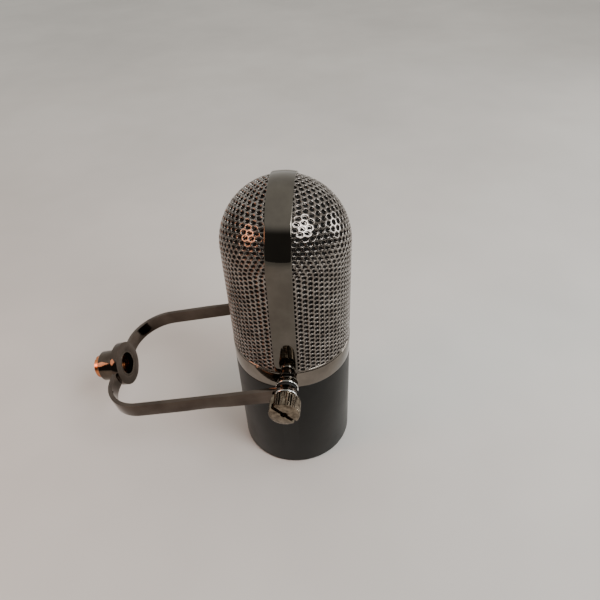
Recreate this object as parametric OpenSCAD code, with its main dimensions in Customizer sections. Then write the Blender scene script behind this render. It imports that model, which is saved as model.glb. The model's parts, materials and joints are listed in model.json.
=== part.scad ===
// Side-address ribbon microphone in a swivel yoke. Millimetres, +Z up.
// The origin is on the body's axis at its flat bottom face; -Y faces the sound source.
// Radii are named *_r, heights above the bottom face *_z, wall and plate thicknesses *_t.

/* [Body] */
// Outside diameter of the base and the trim band
body_d = 75; // [70:1:95]
// Height of the dark base, up to the trim band
base_h = 78; // [65:1:110]
// Wall of the base tube
base_wall = 3; // [2.5:0.1:4]
// Height of the polished trim band
band_h = 14; // [11.5:0.1:20]
// Wall of the trim band
band_wall = 1; // [0.8:0.05:1.3]
// Thickness of the bottom plate
bottom_t = 5; // [4:0.5:7]
// How far the base tube's spigot reaches up inside the grille
spigot_lap = 4; // [3:0.5:6]

/* [Grille] */
// Height of the grille's straight wall above the band
grille_wall_h = 68.5; // [57:0.5:90]
// Thickness of the perforated sheet
grille_t = 0.8; // [0.6:0.05:0.95]
// Gap between the two half-shells, under the spine
seam_gap = 0.2; // [0.1:0.1:0.6]
// Width of the polished spine over the seam
spine_w = 14; // [11:0.5:18]
// How far the spine stands proud of the grille
spine_t = 1.3; // [1:0.1:2]
// Thickness of the hoop behind the seam
hoop_t = 1; // [0.6:0.1:1.6]
// Thickness of the fine woven screen inside the grille
screen_t = 0.35; // [0.3:0.05:0.6]

/* [Yoke] */
// Angle of the yoke below the horizontal, as stored
yoke_tilt = 11.6; // [0:0.1:30]
// Clearance over the spine's top as the yoke swings past it
dome_clear = 0.8; // [0.6:0.1:20]
// Thickness of the yoke's flat bar
bar_t = 2.8; // [2.3:0.1:3.5]
// Width of the bar in the arms
bar_w = 9.4; // [7:0.1:11]
// Width of the bar where it meets the pivot eye
bar_eye_w = 10.2; // [8:0.1:11.5]
// Outside diameter of the pivot eye
eye_d = 13.8; // [12:0.2:16]
// Outside radius of the yoke's two bends
bend_r = 27; // [10:0.5:28]
// Diameter of the forged disc that carries the stand boss
disc_d = 30; // [26:0.5:34]
// Thickness of that disc
disc_t = 4.5; // [4:0.1:5.6]
// Outside diameter of the stand boss
boss_d = 21; // [19:0.5:24]
// Length of the boss beyond the yoke
boss_len = 13.2; // [11:0.1:18]
// Diameter of the boss's 5/8 inch thread, at its crests
boss_bore_d = 15; // [14.8:0.1:15.2]
// Diameter of the adapter's 3/8 inch thread, at its crests
adapter_bore_d = 8; // [7.9:0.1:8.4]
// Thickness of the adapter's head
adapter_head_t = 4.2; // [3.5:0.1:6]

/* [Pivots] */
// Height of the pivot axis above the band's lower edge
pivot_up = 1.8; // [1.5:0.1:2.2]
// Diameter of the thumb screws' studs
stud_d = 6; // [5:0.5:6.5]
// Outside diameter of the flat washers
washer_d = 14; // [13.4:0.2:17]
// Thickness of the flat washers
washer_t = 1.5; // [1:0.1:2]
// Thickness of the rubber ring inside the yoke
inner_ring_t = 2.6; // [2:0.1:3.5]
// Thickness of the washer under the thumb screw
outer_ring_t = 1.8; // [1:0.1:2.5]
// Diameter of the thumb screw's knurled head
knob_d = 18.6; // [16:0.2:22]
// Length of the head
knob_len = 12.5; // [10:0.5:16]
// Width of the slot across the head
knob_slot_w = 2.4; // [1.6:0.1:3.2]
// Depth of that slot
knob_slot_deep = 3; // [2:0.1:4]
// Angle of the slot from level, seen from outside
knob_slot_turn = 135; // [0:5:175]

/* [Ribbon motor] */
// Width of the ribbon
ribbon_w = 5.2; // [4.4:0.1:6]
// Free length of the ribbon between its clamps
ribbon_len = 50; // [41:1:60]
// Spacing of the ribbon's corrugations
corrugation = 1.25; // [1:0.05:2]
// Air gap on each side of the ribbon
ribbon_gap = 0.3; // [0.2:0.05:0.5]
// Outside width of the motor's steel frame
frame_w = 38; // [36:1:46]
// Thickness of that frame, front to back
frame_t = 12; // [11:0.5:16]
// Width of its side and end bars
frame_bar = 8; // [6:0.5:9]
// Thickness of the deck that carries the motor
deck_t = 3; // [2.5:0.5:5]

/* [Electronics] */
// Width of the transformer's core
core_w = 34; // [30:1:35]
// Depth of that core, front to back
core_depth = 26; // [20:1:28]
// Height of that core
core_h = 27; // [22:1:29]
// Height of the circuit board's underside
board_z = 38; // [32:1:42]
// Thickness of the circuit board
board_t = 1.6; // [1.2:0.1:2]
// Outside diameter of the connector's barrel
barrel_d = 19; // [18.5:0.1:20]
// Bore of the connector's barrel
barrel_bore_d = 16; // [15.8:0.1:16.4]

/* [Hidden] */
$fn = 96;
far = 400;                                   // longer than anything it cuts
body_r = body_d / 2;
bore_r = body_r - base_wall;                 // inside of the base tube
spigot_r = body_r - band_wall;               // the band and the grille both fit over this
grille_r = spigot_r + grille_t;
spine_r = grille_r + spine_t;
band_z = base_h;
grille_z = band_z + band_h;
spigot_z = grille_z + spigot_lap;
dome_z = grille_z + grille_wall_h;           // centre of the dome
slide_gap = 0.05;                            // running clearance, each side
fit_gap = 0.1;                               // clearance of pieces that are bolted in

// pivots: distances out from the body's axis, from the wall outwards
pivot_z = band_z + pivot_up;
bush_seat = spigot_r - 0.5;                  // spot face cut into the spigot
collar_r = 5.5;
collar_out = body_r + 1;
washer_out = collar_out + washer_t;
eye_in = washer_out + inner_ring_t;
eye_out = eye_in + bar_t;
ring_out = eye_out + outer_ring_t;
knob_out = ring_out + knob_len;
stud_r = stud_d / 2;
stud_in = bore_r - 5;                        // inner end of the stud, past the bush
bush_wall = 1.2;
bush_r = stud_r + bush_wall;
nut_wall = 1.5;
nut_af = 2 * (bush_r + nut_wall);            // across the flats
nut_r = nut_af / sqrt(3);                    // across the corners
nut_out = sqrt(bore_r * bore_r - nut_r * nut_r) - fit_gap;
nut_t = 2.5;
bush_in = nut_out - nut_t;                   // inner end of the bush, flush with its nut
knob_r = knob_d / 2;
knob_neck = 2.6;                             // gap between that washer and the knurl
knob_edge = 0.8;

// yoke: u is the distance from the pivot towards the boss
disc_in = dome_z - pivot_z + spine_r + dome_clear;
yoke_reach = disc_in + disc_t;
boss_out = yoke_reach + boss_len;
boss_r = boss_d / 2;
boss_spigot_r = (boss_bore_d / 2 + boss_r) / 2;
adapter_out = boss_out + adapter_head_t;
adapter_thread_len = 9.5;
adapter_in = boss_out - adapter_thread_len;
adapter_head_r = boss_bore_d / 2 + 0.4;
adapter_slot = 1.6;

// hoop behind the spine
hoop_r = spigot_r - hoop_t;
hoop_w = spine_w - 2;

// deck, pillars and motor
deck_z = pivot_z + nut_r + 2;
deck_top = deck_z + deck_t;
pillar_ring_r = bore_r - 7.5;
pillar_r = 3;
pillar_turns = [45, 135, 225, 315];
screw_r = 1.5;
screw_head_r = 2.8;
screw_head_t = 1.7;
pillar_bite = 8;                             // length of screw inside a pillar
motor_bite = 5;                              // and inside the motor frame
pad_t = 1.5;
motor_z = deck_top + pad_t;
end_room = 6;                                // clamp and insulator length at each end
window_h = ribbon_len + 2 * end_room;
frame_h = window_h + 2 * frame_bar;
window_w = frame_w - 2 * frame_bar;
motor_mid = motor_z + frame_h / 2;
pole_tip = ribbon_w / 2 + ribbon_gap;
pole_tip_t = 3;
magnet_w = 4.5;
magnet_t = frame_t - 2;
clamp_w = 13;
clamp_t = 1.6;
clamp_h = 4;
foil_t = 0.06;
clamp_screw_x = 4.6;
clamp_screw_r = 0.8;
clamp_screw_len = 6;
motor_screw_x = frame_w / 2 - frame_bar / 2;

// transformer, board and connector
core_z = deck_z - core_h;
limb = core_w / 6;
coil_gap = 0.3;
coil_bulge = 5;
strap_t = 1;
strap_y = 12;
ear = 8;
ear_x = core_w / 2 + strap_t + ear / 2;
board_r = bore_r - 2.5;
board_top = board_z + board_t;
barrel_r = barrel_d / 2;
barrel_in_r = barrel_bore_d / 2;
barrel_h = 19;
barrel_flange_r = barrel_r + 3.5;
barrel_flange_t = 1.5;
insert_t = 4;
insert_z = barrel_h - insert_t;
pin_r = 1.2;
pin_z = 2;
pin_top = barrel_h + 4;
pins = [[-3.81, 1.6], [3.81, 1.6], [0, -4.1]];
wire_r = 0.6;
post_x = [-8, 8, 0];                         // solder posts of the three output leads
post_y = -14;
post_h = 4;
lead_y = -22;                                // slot in the board that those leads pass through
lead_slot = [20, 4];
feed_x = [-5, 5];                            // solder posts of the two ribbon leads
feed_y = 20;

// ---- shared shapes ----

module tube(out_r, in_r, h) {
    difference() {
        cylinder(r = out_r, h = h);
        translate([0, 0, -1]) cylinder(r = in_r, h = h + 2);
    }
}

// Solid with a straight wall from z0 up to the dome's centre, and a hemisphere on it
module capsule(r, z0) {
    rotate_extrude() intersection() {
        union() {
            translate([0, z0]) square([r, dome_z - z0]);
            translate([0, dome_z]) circle(r = r);
        }
        translate([0, z0]) square([r + 1, far]);
    }
}

module capsule_shell(out_r, in_r, z0) {
    difference() {
        capsule(out_r, z0);
        capsule(in_r, z0 - 1);
    }
}

// The part of its children beyond x = edge on one side, side = 1 or -1
module half_side(side, edge) {
    intersection() {
        children();
        translate([side > 0 ? edge : -far - edge, -far / 2, -1]) cube([far, far, far]);
    }
}

module slab(width) {
    intersection() {
        children();
        translate([-width / 2, -far / 2, -1]) cube([width, far, far]);
    }
}

// Puts its children, drawn outwards along +Z, on the front (-1) or rear (1) pivot
module at_pivot(side) {
    translate([0, 0, pivot_z]) rotate([side > 0 ? -90 : 90, 0, 0]) children();
}

module at_pillars() {
    for (turn = pillar_turns) rotate(turn) translate([pillar_ring_r, 0, 0]) children();
}

// Countersunk screw with its flat head at z = 0, pointing up
module flat_screw(shank_r, head_r, head_t, length) {
    cylinder(r1 = head_r, r2 = shank_r, h = head_t);
    cylinder(r = shank_r, h = length);
}

// Pan-headed screw pointing down, its head resting on z = 0
module pan_screw(shank_r, head_r, head_t, length) {
    difference() {
        union() {
            cylinder(r = head_r, h = head_t);
            translate([0, 0, -length]) cylinder(r = shank_r, h = length + head_t / 2);
        }
        translate([-far / 2, -shank_r / 4, head_t / 2]) cube([far, shank_r / 2, head_t]);
    }
}

function unit(v) = v / norm(v);

// Insulated wire swept along the points: a ring of corners at each point, square to the wire there
module wire(points) {
    sides = 8;
    last = len(points) - 1;
    lean = unit([1, 2, 3]);
    rings = [for (i = [0 : last])
        let (along = unit(points[min(i + 1, last)] - points[max(i - 1, 0)]),
            across = unit(cross(along, lean)), up = cross(along, across))
        for (k = [0 : sides - 1])
            points[i] + wire_r * (cos(360 * k / sides) * across + sin(360 * k / sides) * up)];
    walls = [for (i = [0 : last - 1], k = [0 : sides - 1])
        let (a = i * sides + k, b = i * sides + (k + 1) % sides)
        each [[a, b, a + sides], [b, b + sides, a + sides]]];
    ends = [[for (k = [sides - 1 : -1 : 0]) k], [for (k = [0 : sides - 1]) last * sides + k]];
    polyhedron(points = rings, faces = concat(walls, ends));
}

// ---- base ----

// Round seats that let the pivot bushes' collars into the wall
module pivot_seats(room) {
    for (side = [-1, 1]) at_pivot(side) translate([0, 0, bush_seat]) cylinder(r = collar_r + room, h = far);
}

module base_shell() {
    edge = 1;
    color("#2b2c29") difference() {
        union() {
            rotate_extrude() polygon([[bore_r, 0], [body_r - edge, 0], [body_r, edge],
                [body_r, band_z], [bore_r, band_z]]);
            translate([0, 0, band_z]) tube(spigot_r, bore_r, spigot_z - band_z);
        }
        pivot_seats(fit_gap);
        for (side = [-1, 1]) at_pivot(side) cylinder(r = bush_r + fit_gap, h = far);
    }
}

module bottom_plate() {
    color("#3a3a38") difference() {
        cylinder(r = bore_r - fit_gap, h = bottom_t);
        translate([0, 0, -1]) cylinder(r = barrel_r + slide_gap, h = far);
        at_pillars() {
            translate([0, 0, -1]) cylinder(r = screw_r + fit_gap, h = far);
            translate([0, 0, -0.01])
                cylinder(r1 = screw_head_r + fit_gap, r2 = screw_r + fit_gap, h = screw_head_t);
        }
    }
}

module bottom_screws() {
    slot = 0.8;
    slot_deep = 0.7;
    color("#8c8b86") at_pillars() difference() {
        flat_screw(screw_r, screw_head_r, screw_head_t, bottom_t + pillar_bite);
        translate([-screw_head_r, -slot / 2, -1]) cube([2 * screw_head_r, slot, 1 + slot_deep]);
    }
}

module connector_barrel() {
    color("#b8b8b4") difference() {
        union() {
            cylinder(r = barrel_r, h = barrel_h);
            translate([0, 0, bottom_t]) cylinder(r = barrel_flange_r, h = barrel_flange_t);
        }
        translate([0, 0, -1]) cylinder(r = barrel_in_r, h = far);
    }
}

module connector_insert() {
    color("#1c1c1c") difference() {
        translate([0, 0, insert_z]) cylinder(r = barrel_in_r, h = insert_t);
        for (p = pins) translate([p[0], p[1], 0]) cylinder(r = pin_r, h = far);
        cylinder(r = screw_r, h = far);
    }
}

module connector_pins() {
    cup_r = pin_r + 0.3;
    color("#c9a24a") for (p = pins) translate([p[0], p[1], 0]) {
        translate([0, 0, pin_z]) cylinder(r1 = pin_r - 0.5, r2 = pin_r, h = 1);
        translate([0, 0, pin_z + 1]) cylinder(r = pin_r, h = barrel_h - pin_z - 1);
        translate([0, 0, barrel_h]) cylinder(r = cup_r, h = pin_top - barrel_h);
    }
}

module connector_lock_screw() {
    slot = 0.6;
    color("#8c8b86") difference() {
        translate([0, 0, insert_z]) cylinder(r = screw_r, h = insert_t);
        translate([-screw_r, -slot / 2, insert_z - 0.1]) cube([2 * screw_r, slot, 0.9]);
    }
}

// ---- pillars, board and deck ----

module pillar(z0, z1) {
    translate([0, 0, z0]) difference() {
        cylinder(r = pillar_r, h = z1 - z0);
        translate([0, 0, -1]) cylinder(r = screw_r, h = far);
    }
}

module lower_pillars() {
    color("#c8a552") at_pillars() pillar(bottom_t, board_z);
}

module upper_pillars() {
    color("#c8a552") at_pillars() pillar(board_top, deck_z);
}

module circuit_board() {
    color("#1f5a35") difference() {
        translate([0, 0, board_z]) cylinder(r = board_r, h = board_t);
        at_pillars() cylinder(r = screw_r + fit_gap, h = far);
        translate([-lead_slot[0] / 2, lead_y - lead_slot[1] / 2, 0]) cube([lead_slot[0], lead_slot[1], far]);
    }
}

module solder_posts() {
    color("#c0c0b8") {
        for (x = post_x) translate([x, post_y, board_top]) cylinder(r = 0.9, h = post_h);
        for (x = feed_x) translate([x, feed_y, board_top]) cylinder(r = 0.9, h = post_h);
    }
}

module deck_plate() {
    color("#a9aaa6") difference() {
        translate([0, 0, deck_z]) cylinder(r = bore_r - fit_gap, h = deck_t);
        at_pillars() cylinder(r = screw_r + fit_gap, h = far);
        for (x = feed_x) translate([x, feed_y, 0]) cylinder(r = 1.5, h = far);
        for (x = [-motor_screw_x, motor_screw_x]) translate([x, 0, deck_z])
            flat_screw(screw_r, screw_head_r, screw_head_t, far);
        for (x = [-ear_x, ear_x]) translate([x, 0, 0]) cylinder(r = screw_r, h = far);
    }
}

module deck_screws() {
    color("#8c8b86") at_pillars() translate([0, 0, deck_top])
        pan_screw(screw_r, screw_head_r, screw_head_t, deck_t + pillar_bite);
}

// ---- band, grille and spine ----

module trim_band() {
    color("#34322f") difference() {
        translate([0, 0, band_z]) tube(body_r, spigot_r, band_h);
        pivot_seats(fit_gap);
        translate([-collar_r - fit_gap, -far / 2, 0]) cube([2 * (collar_r + fit_gap), far, pivot_z]);
    }
}

module left_grille() {
    color("#4a4642") half_side(-1, seam_gap / 2) capsule_shell(grille_r, spigot_r, grille_z);
}

module right_grille() {
    color("#4a4642") half_side(1, seam_gap / 2) capsule_shell(grille_r, spigot_r, grille_z);
}

module spine_strip() {
    color("#2f2d2b") slab(spine_w) capsule_shell(spine_r, grille_r, grille_z);
}

module inner_hoop() {
    color("#55524d") slab(hoop_w) capsule_shell(spigot_r, hoop_r, spigot_z);
}

module left_screen() {
    color("#6b6a66") half_side(-1, hoop_w / 2) capsule_shell(spigot_r, spigot_r - screen_t, spigot_z);
}

module right_screen() {
    color("#6b6a66") half_side(1, hoop_w / 2) capsule_shell(spigot_r, spigot_r - screen_t, spigot_z);
}

// ---- pivots ----

module pivot_bushes() {
    color("#9b9a95") for (side = [-1, 1]) at_pivot(side) difference() {
        union() {
            translate([0, 0, bush_in]) cylinder(r = bush_r, h = bush_seat - bush_in);
            translate([0, 0, bush_seat]) cylinder(r = collar_r, h = collar_out - bush_seat);
        }
        cylinder(r = stud_r + slide_gap, h = far);
    }
}

module bush_nuts() {
    color("#9b9a95") for (side = [-1, 1]) at_pivot(side) difference() {
        translate([0, 0, bush_in]) cylinder(r = nut_r, h = nut_out - bush_in, $fn = 6);
        cylinder(r = bush_r, h = far);
    }
}

module flat_washers() {
    color("#d6d6d2") for (side = [-1, 1]) at_pivot(side) translate([0, 0, collar_out])
        tube(washer_d / 2, stud_r + fit_gap, washer_t);
}

module inner_rings() {
    color("#121212") for (side = [-1, 1]) at_pivot(side) translate([0, 0, washer_out])
        tube(washer_d / 2 - 1, stud_r + fit_gap, inner_ring_t);
}

module outer_ring(side) {
    color("#d6d6d2") at_pivot(side) translate([0, 0, eye_out])
        tube(washer_d / 2, stud_r + fit_gap, outer_ring_t);
}

module front_outer_ring() { outer_ring(-1); }
module rear_outer_ring() { outer_ring(1); }

module thumb_screw(side) {
    hole_r = 2.2;
    hole_deep = knob_slot_deep + 1.5;
    neck_r = washer_d / 2 - 1;
    back = ring_out + knob_neck;
    color("#8b8178") at_pivot(side) difference() {
        union() {
            translate([0, 0, stud_in]) cylinder(r = stud_r, h = ring_out - stud_in + 1);
            rotate_extrude() polygon([[0, ring_out], [neck_r, ring_out], [neck_r, back],
                [knob_r - knob_edge, back], [knob_r, back + knob_edge], [knob_r, knob_out - knob_edge],
                [knob_r - knob_edge, knob_out], [0, knob_out]]);
        }
        translate([0, 0, knob_out - hole_deep]) cylinder(r = hole_r, h = far);
        rotate(knob_slot_turn) translate([-knob_d, -knob_slot_w / 2, knob_out - knob_slot_deep])
            cube([2 * knob_d, knob_slot_w, far]);
    }
}

module front_thumb_screw() { thumb_screw(-1); }
module rear_thumb_screw() { thumb_screw(1); }

// ---- yoke, drawn level along -X and then tilted about the pivot ----

module tilted() {
    translate([0, 0, pivot_z]) rotate([0, -yoke_tilt, 0]) children();
}

// Puts its children, drawn outwards along +Z, on the boss's axis
module on_boss() {
    tilted() rotate([0, -90, 0]) children();
}

// Outline seen from above: a bar end at the left, with both corners rounded
module rounded_end(reach, half, r) {
    translate([-reach, -half + r]) square([r, 2 * (half - r)]);
    translate([-reach + r, -half]) square([reach - r + eye_d, 2 * half]);
    for (y = [-half + r, half - r]) translate([-reach + r, y]) circle(r = r);
}

module bar_plan() {
    difference() {
        rounded_end(yoke_reach, eye_out, bend_r);
        rounded_end(yoke_reach - bar_t, eye_in, bend_r - bar_t);
    }
}

// Outline of an arm seen from the side, with its round eye
module bar_side() {
    flare = 42;
    circle(r = eye_d / 2);
    polygon([[0, -bar_eye_w / 2], [0, bar_eye_w / 2], [-flare, bar_w / 2], [-yoke_reach - 1, bar_w / 2],
        [-yoke_reach - 1, -bar_w / 2], [-flare, -bar_w / 2]]);
}

module yoke_bar() {
    color("#5d564e") difference() {
        union() {
            tilted() intersection() {
                translate([0, 0, -far / 2]) linear_extrude(far) bar_plan();
                translate([0, far / 2, 0]) rotate([90, 0, 0]) linear_extrude(far) bar_side();
            }
            on_boss() translate([0, 0, disc_in]) cylinder(r = disc_d / 2, h = disc_t);
        }
        on_boss() translate([0, 0, disc_in - 1]) cylinder(r = boss_spigot_r, h = far);
        for (side = [-1, 1]) at_pivot(side) cylinder(r = stud_r + slide_gap, h = far);
    }
}

module stand_boss() {
    edge = 0.6;
    color("#4a4540") on_boss() difference() {
        rotate_extrude() polygon([[0, disc_in], [boss_spigot_r, disc_in], [boss_spigot_r, yoke_reach],
            [boss_r, yoke_reach], [boss_r, boss_out - edge], [boss_r - edge, boss_out], [0, boss_out]]);
        cylinder(r = boss_bore_d / 2, h = far);
    }
}

module thread_adapter() {
    edge = 0.5;
    color("#c98d5e") on_boss() difference() {
        rotate_extrude() polygon([[0, adapter_in], [boss_bore_d / 2, adapter_in], [boss_bore_d / 2, boss_out],
            [adapter_head_r, boss_out], [adapter_head_r, adapter_out - edge],
            [adapter_head_r - edge, adapter_out], [0, adapter_out]]);
        cylinder(r = adapter_bore_d / 2, h = far);
        translate([-far / 2, -adapter_slot / 2, adapter_out - adapter_slot]) cube([far, adapter_slot, far]);
    }
}

// ---- ribbon motor ----

module centred_box(size, z0) {
    translate([-size[0] / 2, -size[1] / 2, z0]) cube(size);
}

module motor_pad() {
    color("#161616") difference() {
        centred_box([frame_w, frame_t, pad_t], deck_top);
        for (x = [-motor_screw_x, motor_screw_x]) translate([x, 0, 0]) cylinder(r = screw_r, h = far);
    }
}

module motor_frame() {
    color("#8f918e") difference() {
        centred_box([frame_w, frame_t, frame_h], motor_z);
        translate([-window_w / 2, -frame_t, motor_z + frame_bar]) cube([window_w, 2 * frame_t, window_h]);
        for (x = [-motor_screw_x, motor_screw_x]) translate([x, 0, 0])
            cylinder(r = screw_r, h = motor_z + motor_bite + 1);
    }
}

module motor_screws() {
    color("#8c8b86") for (x = [-motor_screw_x, motor_screw_x]) translate([x, 0, deck_z])
        flat_screw(screw_r, screw_head_r, screw_head_t, deck_t + pad_t + motor_bite);
}

module bar_magnets() {
    color("#b9bbb8") for (side = [-1, 1]) translate([side * (window_w - magnet_w) / 2, 0, 0])
        centred_box([magnet_w, magnet_t, ribbon_len], motor_mid - ribbon_len / 2);
}

module pole_pieces() {
    root = window_w / 2 - magnet_w;
    color("#7c7e7b") for (side = [0, 1]) mirror([side, 0, 0])
        translate([0, 0, motor_mid - ribbon_len / 2]) linear_extrude(ribbon_len)
            polygon([[pole_tip, -pole_tip_t / 2], [root, -magnet_t / 2], [root, magnet_t / 2],
                [pole_tip, pole_tip_t / 2]]);
}

// Corrugated foil: a zigzag along its length, flat where the clamps hold it
module ribbon() {
    wave = 0.4;
    waves = floor((ribbon_len - 2) / corrugation);
    start = -waves * corrugation / 2;
    tail = ribbon_len / 2 + clamp_h;
    path = concat([[-tail, 0]], [for (i = [0 : 2 * waves]) [start + i * corrugation / 2,
        (i == 0 || i == 2 * waves) ? 0 : (i % 2 == 0 ? -wave : wave)]], [[tail, 0]]);
    last = len(path) - 1;
    color("#d9dadb") translate([0, 0, motor_mid]) rotate([0, -90, 0]) translate([0, 0, -ribbon_w / 2])
        linear_extrude(ribbon_w) polygon(concat([for (p = path) [p[0], p[1] - foil_t / 2]],
            [for (i = [last : -1 : 0]) [path[i][0], path[i][1] + foil_t / 2]]));
}

module clamp_insulators() {
    depth = frame_t / 2 - clamp_t - foil_t / 2;
    color("#6d4a2a") for (end = [-1, 1]) translate([0, clamp_t + foil_t / 2 + depth / 2,
        motor_mid + end * (ribbon_len + end_room) / 2]) difference() {
        centred_box([window_w, depth, end_room], -end_room / 2);
        for (x = [-clamp_screw_x, clamp_screw_x]) translate([x, far / 2, clamp_screw_drop(end)])
            rotate([90, 0, 0]) cylinder(r = clamp_screw_r, h = far);
    }
}

// Offset of the clamp's middle from the insulator's middle
function clamp_screw_drop(end) = -end * (end_room - clamp_h) / 2;

// Two brass bars that grip the foil's flat end
module ribbon_clamp(end) {
    mid = motor_mid + end * (ribbon_len + clamp_h) / 2;
    color("#c8a552") for (face = [-1, 1]) difference() {
        translate([0, face * (clamp_t + foil_t) / 2, 0])
            centred_box([clamp_w, clamp_t, clamp_h], mid - clamp_h / 2);
        for (x = [-clamp_screw_x, clamp_screw_x]) translate([x, far / 2, mid])
            rotate([90, 0, 0]) cylinder(r = clamp_screw_r, h = far);
    }
}

module upper_clamp() { ribbon_clamp(1); }
module lower_clamp() { ribbon_clamp(-1); }

module clamp_screws() {
    color("#b9bbb8") for (end = [-1, 1], x = [-clamp_screw_x, clamp_screw_x])
        translate([x, -clamp_t - foil_t / 2, motor_mid + end * (ribbon_len + clamp_h) / 2])
            rotate([90, 0, 0]) pan_screw(clamp_screw_r, 2 * clamp_screw_r, 1, clamp_screw_len);
}

// ---- transformer ----

module transformer_core() {
    color("#6f716f") difference() {
        centred_box([core_w, core_depth, core_h], core_z);
        for (side = [-1, 1]) translate([side * 1.5 * limb - limb / 2, -core_depth, core_z + limb])
            cube([limb, 2 * core_depth, core_h - 2 * limb]);
    }
}

module transformer_coil() {
    half = 1.5 * limb + limb / 2 - coil_gap;
    h = core_h - 2 * (limb + coil_gap);
    depth = core_depth + 2 * coil_bulge;
    color("#b8742f") difference() {
        centred_box([2 * half, depth, h], core_z + limb + coil_gap);
        centred_box([2 * limb, core_depth, far], 0);
    }
}

module transformer_strap() {
    inside = core_w / 2;
    color("#a9aaa6") difference() {
        union() {
            centred_box([2 * (inside + strap_t), strap_y, core_h + strap_t], core_z - strap_t);
            centred_box([2 * (inside + strap_t + ear), strap_y, strap_t], deck_z - strap_t);
        }
        centred_box([2 * inside, 2 * strap_y, core_h], core_z);
        for (x = [-ear_x, ear_x]) translate([x, 0, 0]) cylinder(r = screw_r, h = far);
    }
}

module strap_screws() {
    color("#8c8b86") for (x = [-ear_x, ear_x]) translate([x, 0, deck_z - strap_t]) mirror([0, 0, 1])
        pan_screw(screw_r, screw_head_r, screw_head_t, strap_t + deck_t);
}

// ---- internal wiring ----

// From each clamp, down past the motor frame and through the deck to its solder post
module ribbon_leads() {
    side_x = clamp_w / 2 + wire_r;
    front_y = -frame_t / 2 - wire_r - 1;
    out_x = frame_w / 2 + 2;
    bend_z = motor_z + 6;
    deck_turn_z = motor_z + 2;
    post_z = board_top + post_h;
    for (end = [-1, 1]) {
        clamp_z = motor_mid + end * (ribbon_len + clamp_h) / 2;
        feed = end < 0 ? feed_x[0] : feed_x[1];
        outward = end < 0 ? [] : [[out_x, front_y, clamp_z - 6]];
        color("#b5282a") wire(concat([[end * side_x, -clamp_t, clamp_z], [end * side_x, front_y, clamp_z]],
            outward, [[end * out_x, front_y, bend_z], [end * out_x, feed_y, deck_turn_z],
            [feed, feed_y, deck_top + 2], [feed, feed_y, post_z]]));
    }
}

// From the connector's pins, up through the board's slot and over to their solder posts
module output_leads() {
    straight = 3;
    post_z = board_top + post_h;
    loop_z = post_z + straight;
    color("#d8d2c0") for (i = [0 : 2]) wire([[pins[i][0], pins[i][1], pin_top],
        [pins[i][0], pins[i][1], pin_top + straight], [post_x[i], lead_y, board_z - 2],
        [post_x[i], lead_y, loop_z], [post_x[i], post_y, loop_z], [post_x[i], post_y, post_z]]);
}

base_shell();
bottom_plate();
bottom_screws();
connector_barrel();
connector_insert();
connector_pins();
connector_lock_screw();
lower_pillars();
circuit_board();
solder_posts();
upper_pillars();
deck_plate();
deck_screws();
trim_band();
left_grille();
right_grille();
spine_strip();
inner_hoop();
left_screen();
right_screen();
pivot_bushes();
bush_nuts();
flat_washers();
inner_rings();
front_outer_ring();
rear_outer_ring();
front_thumb_screw();
rear_thumb_screw();
yoke_bar();
stand_boss();
thread_adapter();
motor_pad();
motor_frame();
motor_screws();
bar_magnets();
pole_pieces();
ribbon();
clamp_insulators();
upper_clamp();
lower_clamp();
clamp_screws();
transformer_core();
transformer_coil();
transformer_strap();
strap_screws();
ribbon_leads();
output_leads();
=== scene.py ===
import json
import math

import bmesh
import bpy
from mathutils import Matrix, Vector


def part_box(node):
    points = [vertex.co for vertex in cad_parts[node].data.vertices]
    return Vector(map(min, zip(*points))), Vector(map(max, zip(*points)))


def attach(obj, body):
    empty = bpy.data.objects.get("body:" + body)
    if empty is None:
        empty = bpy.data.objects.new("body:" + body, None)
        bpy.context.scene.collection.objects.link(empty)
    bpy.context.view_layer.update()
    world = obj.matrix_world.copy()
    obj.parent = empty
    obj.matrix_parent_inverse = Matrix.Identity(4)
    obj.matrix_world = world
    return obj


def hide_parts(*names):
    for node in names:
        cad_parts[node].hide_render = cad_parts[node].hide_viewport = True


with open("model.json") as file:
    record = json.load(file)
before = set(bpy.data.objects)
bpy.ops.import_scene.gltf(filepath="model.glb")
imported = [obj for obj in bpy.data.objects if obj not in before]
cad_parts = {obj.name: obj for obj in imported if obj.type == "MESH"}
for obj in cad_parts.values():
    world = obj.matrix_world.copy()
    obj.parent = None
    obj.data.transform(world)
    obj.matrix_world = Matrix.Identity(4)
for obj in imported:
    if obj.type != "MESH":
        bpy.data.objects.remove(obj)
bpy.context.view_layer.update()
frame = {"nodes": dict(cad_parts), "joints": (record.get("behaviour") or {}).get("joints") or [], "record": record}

mm = 0.001
fullTurn = 2 * math.pi
waveUnit = fullTurn / 20                     # a Wave Texture of scale 1 repeats every 2*pi/20
print("frame loaded:", len(frame["nodes"]), "nodes")

# positions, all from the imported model
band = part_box("trim_band")
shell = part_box("base_shell")
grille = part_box("right_grille")
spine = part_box("spine_strip")
bodyR = shell[1].x
bandLow, bandHigh = band[0].z, band[1].z
grilleR = grille[1].y
domeZ = grille[1].z - grilleR
spineR = spine[1].z - domeZ
pivotZ = next(j for j in frame["joints"] if j["name"] == "yoke_swing")["pos_m"][2]
standMount = next(m for m in frame["record"]["mounts"] if m["name"] == "stand_thread")
bossAxis = Vector(standMount["axis"])
yokeTilt = math.asin(-bossAxis.z)
yokeFrame = Matrix.Translation((0, 0, pivotZ)) @ Matrix.Rotation(-yokeTilt, 4, "Y")
bossFrame = yokeFrame @ Matrix.Rotation(-math.pi / 2, 4, "Y")      # +Z runs out along the boss


def pivotFrame(side):                        # +Z runs out through the front (-1) or rear (1) pivot
    return Matrix.Translation((0, 0, pivotZ)) @ Matrix.Rotation(-side * math.pi / 2, 4, "X")


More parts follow.
